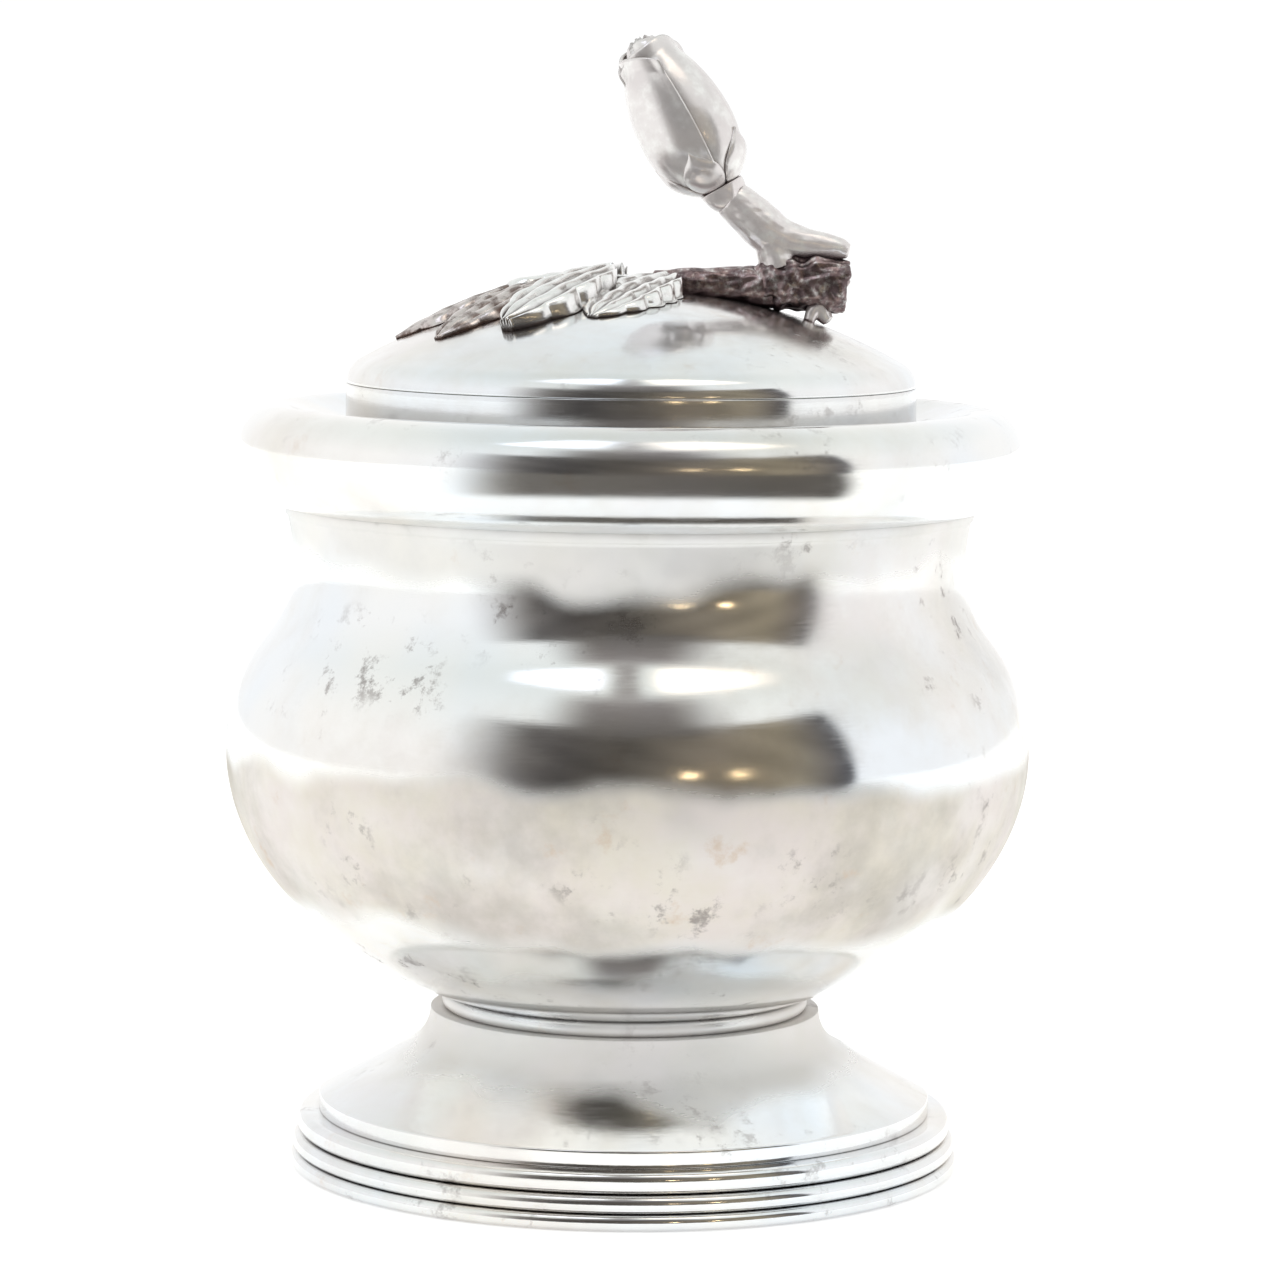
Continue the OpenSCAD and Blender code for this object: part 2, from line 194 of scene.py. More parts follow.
def turned(name, node, body, material, wobble=0.0, seed=1):
    """A turned or spun part: the CAD node's section revolved finely, uneven by the wobble as hand work is."""
    points, closed = section(node)
    line = eased(points, closed)
    radii = np.array([max(p[0], 0.0) for p in line])
    heights = np.array([p[1] for p in line])
    count = len(line)
    turns = np.arange(ROUND_STEPS) * 2 * math.pi / ROUND_STEPS
    grid = np.zeros((ROUND_STEPS, count, 3))
    grid[:, :, 0] = radii * np.cos(turns)[:, None]
    grid[:, :, 1] = radii * np.sin(turns)[:, None]
    grid[:, :, 2] = heights
    if wobble:
        flat = grid.reshape(-1, 3)
        push = ripple(flat, wobble, WOBBLE_LENGTH, seed).reshape(ROUND_STEPS, count)
        grid[:, :, 0] += push * np.cos(turns)[:, None]
        grid[:, :, 1] += push * np.sin(turns)[:, None]
    faces = []
    spans = count if closed else count - 1
    on_axis = radii < AXIS_R
    for i in range(ROUND_STEPS):
        a, b = i * count, (i + 1) % ROUND_STEPS * count
        for j in range(spans):
            k = (j + 1) % count
            if on_axis[j] and on_axis[k]:
                continue
            if on_axis[j]:
                faces.append((j, b + k, a + k))
            elif on_axis[k]:
                faces.append((a + j, b + j, k))
            else:
                faces.append((a + j, b + j, b + k, a + k))
    tidy(add_piece(name, grid.reshape(-1, 3), faces, body, node, material, sharp=CRISP))


def tidy(piece):
    """Drops loose points and turns the faces outwards."""
    work = bmesh.new()
    work.from_mesh(piece.data)
    bmesh.ops.delete(work, geom=[v for v in work.verts if not v.link_faces], context="VERTS")
    bmesh.ops.recalc_face_normals(work, faces=work.faces)
    work.to_mesh(piece.data)
    work.free()


def axis_point(node):
    """The centre of mass of a closed CAD node, which lies on its axis if it is turned."""
    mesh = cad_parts[node].data
    mesh.calc_loop_triangles()
    co = np.array([v.co for v in mesh.vertices], float)
    a, b, c = (co[[t.vertices[i] for t in mesh.loop_triangles]] for i in range(3))
    volume = np.einsum("ij,ij->i", a, np.cross(b, c))
    return Vector(((a + b + c) * volume[:, None]).sum(0) / (4 * volume.sum()))


# ---------------------------------------------------------------- materials

class Shader:
    """A material's node tree with short calls for the few node types used here."""

    def __init__(self, name):
        self.material = bpy.data.materials.new(name)
        self.material.use_nodes = True
        self.tree = self.material.node_tree
        self.surface = self.tree.nodes["Principled BSDF"]
        self.place = self.tree.nodes.new("ShaderNodeTexCoord").outputs["Object"]

    def link(self, source, target):
        """Joins an output to an input, or sets the input to a plain value."""
        if hasattr(source, "is_output"):
            self.tree.links.new(source, target)
        else:
            target.default_value = source

    def noise(self, size, detail=4.0, rough=0.55, stretch=(1, 1, 1), shift=0.0):
        """Noise whose blotches are about the given size in metres."""
        mapping = self.tree.nodes.new("ShaderNodeMapping")
        mapping.inputs["Scale"].default_value = stretch
        mapping.inputs["Location"].default_value = (shift, 2 * shift, -shift)
        self.link(self.place, mapping.inputs["Vector"])
        node = self.tree.nodes.new("ShaderNodeTexNoise")
        node.inputs["Scale"].default_value = 1 / size
        node.inputs["Detail"].default_value = detail
        node.inputs["Roughness"].default_value = rough
        self.link(mapping.outputs["Vector"], node.inputs["Vector"])
        return node.outputs["Fac"]

    def step(self, value, low, high, to_low=0.0, to_high=1.0):
        """Maps low..high smoothly to to_low..to_high."""
        node = self.tree.nodes.new("ShaderNodeMapRange")
        node.interpolation_type = "SMOOTHSTEP"
        for name, number in (("From Min", low), ("From Max", high), ("To Min", to_low), ("To Max", to_high)):
            node.inputs[name].default_value = number
        self.link(value, node.inputs["Value"])
        return node.outputs["Result"]

    def maths(self, operation, a, b):
        """The result of one arithmetic step on two outputs or numbers."""
        node = self.tree.nodes.new("ShaderNodeMath")
        node.operation = operation
        self.link(a, node.inputs[0])
        self.link(b, node.inputs[1])
        return node.outputs[0]

    def mix(self, share, a, b):
        """Colour a, blended with colour b by the share."""
        node = self.tree.nodes.new("ShaderNodeMix")
        node.data_type = "RGBA"
        self.link(share, node.inputs["Factor"])
        for colour, socket in ((a, node.inputs[6]), (b, node.inputs[7])):
            self.link(colour if hasattr(colour, "is_output") else (*colour, 1), socket)
        return node.outputs[2]

    def height(self):
        """The height above the floor."""
        split = self.tree.nodes.new("ShaderNodeSeparateXYZ")
        self.link(self.place, split.inputs[0])
        return split.outputs["Z"]

    def band(self, low, high, soft, stray=0.0, shift=0.0):
        """1 between the two heights, falling to 0 over the soft distance. The edges stray up and down."""
        wave = self.noise(16 * MM, 1.5, 0.5, shift=shift)
        wander = self.maths("MULTIPLY", self.maths("SUBTRACT", wave, 0.5), stray)
        z = self.maths("ADD", self.height(), wander)
        rise = self.step(z, low - soft, low)
        fall = self.step(z, high, high + soft, 1.0, 0.0)
        return self.maths("MULTIPLY", rise, fall)

    def hollow(self, distance):
        """1 where other surfaces within the distance close in on the point, 0 on open faces."""
        node = self.tree.nodes.new("ShaderNodeAmbientOcclusion")
        node.samples = 6
        node.inputs["Distance"].default_value = distance
        return self.step(node.outputs["AO"], 0.35, 0.8, 1.0, 0.0)

    def bump(self, height, distance, strength):
        """Makes the surface look raised by the height times the distance."""
        node = self.tree.nodes.new("ShaderNodeBump")
        node.inputs["Strength"].default_value = strength
        node.inputs["Distance"].default_value = distance
        self.link(height, node.inputs["Height"])
        self.link(node.outputs["Normal"], self.surface.inputs["Normal"])


BELT_SOFT = 3.6 * MM
BELT_STRAY = 9 * MM

BRIGHT = (0.90, 0.89, 0.865)
COOL = (0.83, 0.865, 0.90)
WARM_HAZE = (0.72, 0.67, 0.585)
ROSE_HAZE = (0.75, 0.685, 0.655)
SMOKE = (0.44, 0.41, 0.36)
BROWN = (0.62, 0.48, 0.36)
# The grey of the stains, also used as the tone of the painted shade in hollows.
STAIN_AND_SHADE = (0.26, 0.23, 0.22)


def silver(name, haze=0.3, stains=0.5, rough=0.1, belts=(), shift=0.0, recess=(1.4 * MM, 0.45)):
    """Old polished silver: cool and warm clouds, grey stains in clusters, brown spots and fine rubbing lines.
    Each belt is (low, high, haze, roughness, film): a height range that polishing has left dull.
    The recess is (distance, share): where surfaces within the distance close in, the share of painted shade
    darkens the colour."""
    shade_reach, shade_share = recess
    s = Shader(name)
    cloud = s.step(s.noise(26 * MM, 6, 0.62, shift=shift), 0.38, 0.66)
    dull = s.maths("MULTIPLY", cloud, haze)
    roughness = s.maths("MULTIPLY", dull, 0.22)
    film = 0.0
    for low, high, belt_haze, belt_rough, belt_film in belts:
        uneven = s.step(s.noise(15 * MM, 5, 0.6, shift=shift + 3), 0.25, 0.6, 0.7, 1.0)
        belt = s.maths("MULTIPLY", s.band(low, high, BELT_SOFT, BELT_STRAY, shift), uneven)
        dull = s.maths("MAXIMUM", dull, s.maths("MULTIPLY", belt, belt_haze))
        roughness = s.maths("MAXIMUM", roughness, s.maths("MULTIPLY", belt, belt_rough))
        film = s.maths("MAXIMUM", film, s.maths("MULTIPLY", belt, belt_film))
    tint = s.step(s.noise(13 * MM, 5, 0.6, shift=shift + 5), 0.36, 0.66)
    ground = s.mix(s.step(s.noise(34 * MM, 3, 0.5, shift=shift + 9), 0.4, 0.62), BRIGHT, COOL)
    smoke = s.step(s.noise(21 * MM, 6, 0.62, shift=shift + 19), 0.46, 0.72, 0.0, 0.7)
    haze_colour = s.mix(smoke, s.mix(tint, WARM_HAZE, ROSE_HAZE), SMOKE)
    colour = s.mix(dull, ground, haze_colour)
    patches = s.step(s.noise(19 * MM, 3, 0.5, shift=shift + 7), 0.50, 0.62)
    blots = s.step(s.noise(3.4 * MM, 8, 0.7, shift=shift + 11), 0.54, 0.66)
    stain = s.maths("MULTIPLY", s.maths("MULTIPLY", patches, blots), stains)
    rust = s.step(s.noise(7 * MM, 6, 0.66, shift=shift + 17), 0.60, 0.74)
    colour = s.mix(s.maths("MULTIPLY", s.maths("MULTIPLY", rust, dull), 0.75), colour, BROWN)
    colour = s.mix(stain, colour, STAIN_AND_SHADE)
    # Painted shade: where other surfaces close in within the recess distance, the colour darkens towards the
    # stain grey.
    colour = s.mix(s.maths("MULTIPLY", s.hollow(shade_reach), shade_share), colour, STAIN_AND_SHADE)
    s.link(colour, s.surface.inputs["Base Color"])
    lines = s.noise(0.16 * MM, 3, 0.6, stretch=(0.06, 0.06, 1.0), shift=shift)
    worn = s.maths("ADD", roughness, s.step(lines, 0.3, 0.75, rough, rough + 0.05))
    worn = s.maths("ADD", worn, s.maths("MULTIPLY", stain, 0.25))
    s.link(worn, s.surface.inputs["Roughness"])
    s.link(s.maths("SUBTRACT", 1.0, film), s.surface.inputs["Metallic"])
    s.bump(s.maths("ADD", lines, s.maths("MULTIPLY", stain, 0.5)), 0.004 * MM, 0.5)
    return s.material


def chased(name, bright, dark, depth, dark_share, rough, grain, film=0.0):
    """Cast silver, black with oxide where surfaces within the depth close it in and rubbed bright elsewhere.
    Blotches of the oxide on open faces have the strength dark_share, and the film dulls the metal."""
    s = Shader(name)
    recess = s.hollow(depth)
    blots = s.step(s.noise(1.8 * MM, 6, 0.65), 0.42, 0.62)
    covered = s.maths("ADD", recess, s.maths("MULTIPLY", blots, dark_share))
    pits = s.noise(grain, 5, 0.65)
    colour = s.mix(covered, s.mix(s.step(pits, 0.45, 0.75), bright, BRIGHT), dark)
    s.link(colour, s.surface.inputs["Base Color"])
    s.link(s.step(covered, 0.0, 1.0, rough, 0.45), s.surface.inputs["Roughness"])
    s.surface.inputs["Metallic"].default_value = 1 - film
    s.bump(pits, 0.06 * MM, 0.5)
    return s.material


# ---------------------------------------------------------------- the spray on the dome

DOME_SAMPLE = (18 * MM, 24 * MM)


def dome_sphere():
    """Centre height and radius of the dome, from two points of its section."""
    points, _ = section("lid_dome")
    near = max(points, key=lambda p: p[1])
    far = max((p for p in points if DOME_SAMPLE[0] < p[0] < DOME_SAMPLE[1]), key=lambda p: p[1])
    centre = (near[0] ** 2 - far[0] ** 2 + near[1] ** 2 - far[1] ** 2) / (2 * (near[1] - far[1]))
    return centre, math.hypot(near[0], near[1] - centre)


DOME_CENTRE_Z, DOME_R = dome_sphere()


def on_dome(x, y, height):
    """The point above (x, y) at the given height from the dome's surface."""
    z = math.sqrt(DOME_R ** 2 - x * x - y * y)
    return Vector((x, y, z)) * ((DOME_R + height) / DOME_R) + Vector((0, 0, DOME_CENTRE_Z))


def slab(outer, inner):
    """Points and faces of a closed sheet between two grids of points of the same size."""
    rows, cols = len(outer), len(outer[0])
    points = [p for row in outer for p in row] + [p for row in inner for p in row]
    back = rows * cols
    faces = []
    for i in range(rows - 1):
        for j in range(cols - 1):
            a = i * cols + j
            faces.append((a, a + 1, a + cols + 1, a + cols))
            faces.append((back + a, back + a + cols, back + a + cols + 1, back + a + 1))
    rim = list(range(cols))
    rim += [i * cols + cols - 1 for i in range(1, rows)]
    rim += [(rows - 1) * cols + j for j in range(cols - 2, -1, -1)]
    rim += [i * cols for i in range(rows - 2, 0, -1)]
    for a, b in zip(rim, rim[1:] + rim[:1]):
        faces.append((b, a, back + a, back + b))
    return points, faces


def leaf_plan(node):
    """Root, tip, width and height above the dome of a CAD leaf."""
    co = np.array([v.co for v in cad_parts[node].data.vertices], float)
    flat = co[:, :2]
    gaps = np.linalg.norm(flat[:, None] - flat[None], axis=2)
    a, b = np.unravel_index(gaps.argmax(), gaps.shape)
    root, tip = sorted((Vector(flat[a]), Vector(flat[b])), key=lambda p: p.length)
    side = Vector((-(tip - root).y, (tip - root).x)).normalized()
    width = 2 * np.abs((flat - np.array(root)) @ np.array(side)).max()
    low = np.linalg.norm(co - np.array((0, 0, DOME_CENTRE_Z)), axis=1).min() - DOME_R
    return root, tip, width, max(low, 0.0)


def leaf(node, teeth, rise, material):
    """A cast leaf heaped on the dome: round strands beside a deep midrib, gently lobed across."""
    rows, cols = 110, 49
    edge_height, under = 0.15 * MM, 0.02 * MM
    root, tip, width, low = leaf_plan(node)
    along = tip - root
    ahead = along.normalized()
    side = Vector((-ahead.y, ahead.x))
    outer, inner = [], []
    for i in range(rows):
        s = i / (rows - 1)
        half = 0.6 * width * max(0.05, math.sin(math.pi * (0.12 + 0.88 * s) ** 0.9)) ** 0.6
        half *= 0.88 + 0.14 * abs(math.sin(math.pi * teeth * s))
        crest = low + 0.35 * MM + rise * (1 - s) ** 0.7
        top_row, low_row = [], []
        for j in range(cols):
            t = 2 * j / (cols - 1) - 1
            out = abs(t)
            lean = 0.12 * out ** 2 * (1 - s)
            flat = root + along * (s + lean) + side * (t * half)
            strand = abs(math.sin(2 * math.pi * min(1.0, out * (1 + 0.15 * math.sin(5 * s))))) ** 0.55
            lobe = math.cos(2 * math.pi * (teeth * s - 0.8 * out))
            height = crest * (0.28 + 0.72 * strand) - 0.5 * crest * out ** 6 + 0.05 * MM * lobe * strand
            top_row.append(on_dome(flat.x, flat.y, max(edge_height, height)))
            low_row.append(on_dome(flat.x, flat.y, under))
        outer.append(top_row)
        inner.append(low_row)
    points, faces = slab(outer, inner)
    tidy(add_piece(node + "_cast", points, faces, "lid", node, material))


# ---------------------------------------------------------------- branch, twig and stem, from fused tubes

def tube(path, radii, sides=18):
    """A closed tube along a smooth curve through (x, y, z) points, with a radius at each."""
    line = smooth_path([(*p, r) for p, r in zip(path, radii)], step=0.4 * MM)
    centres = [Vector(p[:3]) for p in line]
    points = []
    for i, (centre, at) in enumerate(zip(centres, line)):
        ahead = (centres[min(i + 1, len(line) - 1)] - centres[max(i - 1, 0)]).normalized()
        across = ahead.cross(Vector((0, 1, 0))).normalized()
        up = across.cross(ahead)
        for k in range(sides):
            a = 2 * math.pi * k / sides
            points.append(centre + (across * math.cos(a) + up * math.sin(a)) * at[3])
    return points, loft_faces(len(line), sides)


def joined(shapes):
    """The points and faces of several shapes as one."""
    points, faces = [], []
    for some_points, some_faces in shapes:
        base = len(points)
        points += some_points
        faces += [tuple(i + base for i in f) for f in some_faces]
    return points, faces


def fused(name, node, tubes, material, bark, seed):
    """One cast piece: tubes merged into a single skin, roughened like bark."""
    points, faces = joined(tubes)
    raw = bpy.data.meshes.new("raw")
    raw.from_pydata([tuple(p) for p in points], [], faces)
    holder = bpy.data.objects.new("raw", raw)
    bpy.context.scene.collection.objects.link(holder)
    remesh = holder.modifiers.new("skin", "REMESH")
    remesh.mode = "VOXEL"
    remesh.voxel_size = 0.14 * MM
    soften = holder.modifiers.new("soften", "SMOOTH")
    soften.iterations = 6
    graph = bpy.context.evaluated_depsgraph_get()
    skin = bpy.data.meshes.new_from_object(holder.evaluated_get(graph))
    bpy.data.objects.remove(holder)
    co = np.array([v.co for v in skin.vertices], float)
    normals = np.array([v.normal for v in skin.vertices], float)
    push = ripple(co, bark, 2.6 * MM, seed) + ripple(co * (0.45, 1, 1), 0.6 * bark, 1.0 * MM, seed + 1)
    co += normals * push[:, None]
    polygons = [tuple(p.vertices) for p in skin.polygons]
    add_piece(name, co, polygons, "lid", node, material)


def branch_pieces(bark_metal, stem_metal):
    """The cut branch lying to the right, with its twig, its prop on the dome and the stem of the bud."""
    stump_low, stump_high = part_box("branch_stump")
    boss_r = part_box("spray_boss")[1].x
    middle = (stump_low.z + stump_high.z) / 2
    start, end = stump_low.x, stump_high.x

    def at(x, z, y=0.0):
        """A point at x in metres, z above the branch's middle and y behind it in millimetres."""
        return (x, y * MM, middle + z * MM)

    twig = tube([at(boss_r - 0.4 * MM, -0.2), at(7 * MM, 0.2, -0.3), at(11 * MM, 0.1, 0.2),
                 at(start + 1 * MM, 0.0)],
                [1.8 * MM, 1.8 * MM, 2.1 * MM, 2.5 * MM])
    knot = tube([at(9.2 * MM, 0.3, -0.6), at(9.6 * MM, 1.0, -1.5)], [1.1 * MM, 0.5 * MM])
    fused("twig_bark", "twig", [twig, knot], bark_metal, 0.10 * MM, 21)

    stump = tube([at(start - 0.9 * MM, 0.2), at(start + 0.8 * MM, 0.4), at(start + 4 * MM, 0.5, 0.2),
                  at(end - 2.2 * MM, 0.3, -0.2), at(end - 0.3 * MM, 0.1)],
                 [1.9 * MM, 2.9 * MM, 3.1 * MM, 3.1 * MM, 2.9 * MM])
    knots = [tube([at(end - 1.5 * MM, 0.9, -1.3), at(end - 1.1 * MM, 1.5, -1.9)], [1.2 * MM, 0.7 * MM]),
             tube([at(start + 2.6 * MM, -0.6, -1.4), at(start + 2.8 * MM, -1.0, -2.3)], [1.1 * MM, 0.6 * MM]),
             tube([at(end - 2.6 * MM, -1.0, -1.3), at(end - 1.9 * MM, -1.9, -1.5)], [1.3 * MM, 0.8 * MM])]
    fused("branch_stump_bark", "branch_stump", [stump] + knots, bark_metal, 0.20 * MM, 31)

    spur_low, spur_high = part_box("branch_spur")
    spur_x = (spur_low.x + spur_high.x) / 2
    toe_z = spur_low.z + 0.9 * MM
    prop = tube([(spur_x - 0.6 * MM, -0.4 * MM, middle - 1.6 * MM),
                 (spur_x, -0.7 * MM, spur_high.z - 0.6 * MM),
                 (spur_x + 0.5 * MM, -0.9 * MM, toe_z)],
                [1.3 * MM, 0.95 * MM, 0.75 * MM])
    toe = tube([(spur_x - 1.2 * MM, -0.9 * MM, spur_high.z), (spur_x - 1.9 * MM, -1.7 * MM, toe_z)],
               [0.9 * MM, 0.55 * MM])
    fused("branch_prop", "branch_spur", [prop, toe], stem_metal, 0.07 * MM, 41)

    foot = Vector((start + 2 * MM, 0, stump_high.z))
    strip = [(-5.9, 7.2), (-3.8, 5.4), (-1.9, 3.75), (0.5, 2.75), (3.5, 2.15), (6.2, 1.75), (7.3, 1.5)]
    strip_r = [2.15, 2.45, 2.5, 2.0, 1.6, 1.25, 0.8]
    leg = [(-1.2, 2.9), (-1.0, 1.2), (-0.5, -0.4)]
    leg_r = [2.1, 2.0, 2.3]
    tubes = [tube([foot + Vector((x, 0, z)) * MM for x, z in line], [r * MM for r in radii])
             for line, radii in ((strip, strip_r), (leg, leg_r))]
    fused("bud_stem_bark", "bud_stem", tubes, stem_metal, 0.03 * MM, 51)


# ---------------------------------------------------------------- the rosebud

# Shares of the bud's length: where it is widest, where its outline would close, and where its tip opens.
WIDEST = 0.38
TIP = 1.05
OPEN = 0.98
PETAL_ROOT = 0.03
PETAL_SHEET = 0.42 * MM
SEPAL_SHEET = 0.32 * MM
STEM_END_R = 1.55 * MM


class Bud:
    """The bud's own place, +Z from hip to tip, and its outline, read from the CAD heart and petals."""

    def __init__(self):
        heart, hip = axis_point("bud_heart"), axis_point("bud_hip")
        axis = (heart - hip).normalized()
        across = UP.cross(axis).cross(axis).normalized() * -1
        heights = [(v.co - hip).dot(axis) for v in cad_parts["bud_heart"].data.vertices]
        self.length = (max(heights) - min(heights)) / OPEN
        base = hip + axis * min(heights)
        turn = Matrix((across, axis.cross(across), axis)).transposed()
        self.place = Matrix.Translation(base) @ turn.to_4x4()
        self.hip_h = 2 * (base - hip).length
        self.radius = self.reach("petal_left")
        self.inner = self.reach("petal_right")
        self.heart = self.reach("bud_heart")

    def reach(self, node):
        """The largest distance of a CAD node's points from the bud's axis."""
        inverse = self.place.inverted()
        return max((inverse @ v.co).xy.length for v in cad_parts[node].data.vertices)

    def outline(self, s):
        """Radius at share s of the length, as a share of the widest radius."""
        half, fullness = (WIDEST + 0.03, 0.5) if s < WIDEST else (TIP - WIDEST, 0.72)
        return max(0.0, 1 - ((s - WIDEST) / half) ** 2) ** fullness

    def point(self, angle, s, r):
        """The point at an angle round the axis, share s of the length and radius r."""
        return self.place @ Vector((r * math.cos(angle), r * math.sin(angle), s * self.length))


def smooth_share(value, low, high):
    """0 below low and 1 above high, with a smooth rise between."""
    t = min(1.0, max(0.0, (value - low) / (high - low)))
    return t * t * (3 - 2 * t)


def petal(bud, node, radius, start, sweep, top, material, bulge=0.0, seed=0.0):
    """A wrapped petal, from start over sweep degrees and up to the share top, whose free edges and lip curl
    outwards."""
    rows, cols = 64, 72
    outer, inner = [], []
    for i in range(rows):
        row_out, row_in = [], []
        for j in range(cols):
            a = j / (cols - 1)
            edge = abs(2 * a - 1)
            lip = top - 0.09 * edge ** 4 + 0.008 * math.sin(9 * a + seed)
            s = PETAL_ROOT + (lip - PETAL_ROOT) * i / (rows - 1)
            curl = 0.22 * MM * smooth_share(edge, 0.86, 1.0)
            curl += 0.8 * MM * smooth_share(s, lip - 0.10, lip + 0.02)
            fold = 0.10 * MM * math.sin(3 * math.pi * a + 5 * s + seed)
            r = radius * bud.outline(s) + curl + bulge * math.sin(math.pi * a) * bud.outline(s) + fold * s
            angle = math.radians(start + sweep * a) + 0.10 * (s - 0.5)
            row_out.append(bud.point(angle, s, r))
            row_in.append(bud.point(angle, s, max(r - PETAL_SHEET, 0.1 * MM)))
        outer.append(row_out)
        inner.append(row_in)
    points, faces = slab(outer, inner)
    tidy(add_piece(node + "_cast", points, faces, "lid", node, material))


def sepals(bud, material):
    """Five pointed sepals that clasp the foot of the bud."""
    rows, cols, count = 34, 17, 5
    first, half_angle, tip = 35.0, 33.0, 0.27
    sheets = []
    for k in range(count):
        outer, inner = [], []
        for i in range(rows):
            s = tip * i / (rows - 1)
            share = i / (rows - 1)
            width = half_angle * max(0.02, (1 - share ** 1.6)) * (1 + 0.25 * math.sin(math.pi * share))
            row_out, row_in = [], []
            for j in range(cols):
                t = 2 * j / (cols - 1) - 1
                angle = math.radians(first + 360 / count * k + t * width + 5 * share)
                lift = 0.12 * MM - 0.45 * MM * smooth_share(share, 0.45, 1.0) + 0.30 * MM * (1 - t * t)
                r = bud.radius * bud.outline(s) + lift
                row_out.append(bud.point(angle, s, r))
                row_in.append(bud.point(angle, s, r - SEPAL_SHEET))
            outer.append(row_out)
            inner.append(row_in)
        sheets.append(slab(outer, inner))
    points, faces = joined(sheets)
    tidy(add_piece("bud_sepals_cast", points, faces, "lid", "bud_sepals", material))


def heart(bud, material):
    """The folded middle of the bud, with a spiral of petal edges at its open tip."""
    rows, sides = 60, 96
    points = []
    for i in range(rows):
        s = OPEN * i / (rows - 1)
        for k in range(sides):
            a = 2 * math.pi * k / sides
            wind = (1.5 * a / math.pi + 2.2 * s) % 1.0
            fold = 0.45 * MM * wind * smooth_share(s, 0.6, 0.95)
            points.append(bud.point(a, s, bud.heart * bud.outline(s) - 0.15 * MM + fold))
    tip_rings = [(0.72, 0.994), (0.48, 0.965), (0.25, 1.0), (0.08, 0.985)]
    last = bud.heart * bud.outline(OPEN)
    for share, s in tip_rings:
        for k in range(sides):
            a = 2 * math.pi * k / sides
            twist = 0.012 * math.sin(3 * a + 9 * share)
            points.append(bud.point(a, s + twist, last * share))
    faces = loft_faces(rows + len(tip_rings), sides)
    tidy(add_piece("bud_heart_cast", points, faces, "lid", "bud_heart", material))


def hip(bud, material):
    """The swelling under the sepals, ribbed down to the stem."""
    rows, sides = 26, 60
    top_r = 0.8 * bud.radius * bud.outline(0.02) + 0.35 * MM
    neck = 0.97
    points = []
    for i in range(rows):
        t = i / (rows - 1)
        z = -bud.hip_h * (1 - t)
        r = STEM_END_R + (top_r - STEM_END_R) * math.sin(math.pi / 2 * t ** 0.7)
        if t > neck:
            r *= 0.75
        for k in range(sides):
            a = 2 * math.pi * k / sides
            rib = 0.12 * MM * math.cos(5 * a) * math.sin(math.pi * t)
            points.append(bud.point(a, z / bud.length, r + rib))
    tidy(add_piece("bud_hip_cast", points, loft_faces(rows, sides), "lid", "bud_hip", material))


# ---------------------------------------------------------------- the object

def build_bowl():
    """The bowl with its rim, its seat for the lid and its foot."""
    bowl_metal = silver("bowl_silver", haze=0.55, stains=0.75, rough=0.07, shift=0.3,
                        belts=((WAIST_Z + 2.5 * MM, RIM_LOW_Z + 4 * MM, 0.35, 0.36, 0.85),
                               (BELLY_Z - 14.5 * MM, BELLY_Z - 1.5 * MM, 1.0, 0.50, 0.70)))
    rim_metal = silver("rim_silver", haze=0.45, stains=0.45, rough=0.07, shift=1.9)
    # The foot's recess darkens the crevices between its rings a little, as painted shade.
    foot_metal = silver("foot_silver", haze=0.45, stains=0.4, rough=0.07, shift=2.7, recess=(0.9 * MM, 0.3),
                        belts=((NECK_Z, FOOT_TOP_Z, 0.5, 0.40, 0.88),))
    turned("bowl", "bowl_shell", "bowl", bowl_metal, wobble=0.035 * MM, seed=5)
    turned("rim", "rim_moulding", "bowl", rim_metal, wobble=0.02 * MM, seed=6)
    turned("lid_ledge", "lid_seat", "bowl", rim_metal)
    turned("bead", "joint_bead", "bowl", foot_metal)
    turned("foot", "foot_trumpet", "bowl", foot_metal, wobble=0.02 * MM, seed=8)
    for node in ("foot_upper_ring", "foot_lower_ring", "foot_base_wire"):
        turned(node + "_turned", node, "bowl", foot_metal)


def build_lid():
    """The lid, with the stud, washer and nut under it, which keep their CAD shape."""
    # The lid's recess darkens the crevice between collar and rim strongly, as painted shade.
    lid_metal = silver("lid_silver", haze=0.5, stains=0.35, rough=0.09, shift=4.1, recess=(7 * MM, 0.7))
    turned("dome", "lid_dome", "lid", lid_metal, wobble=0.02 * MM, seed=9)
    turned("collar", "lid_collar", "lid", lid_metal, wobble=0.01 * MM, seed=10)
    turned("bezel", "lid_bezel", "lid", lid_metal)
    fixing = silver("fastener_silver", haze=0.6, stains=0.8, rough=0.14, shift=6.0)
    for node in ("finial_stud", "finial_washer", "finial_nut"):
        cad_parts[node].data.materials[0] = fixing
        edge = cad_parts[node].modifiers.new("edge", "BEVEL")
        edge.width = 0.15 * MM
        edge.segments = 2


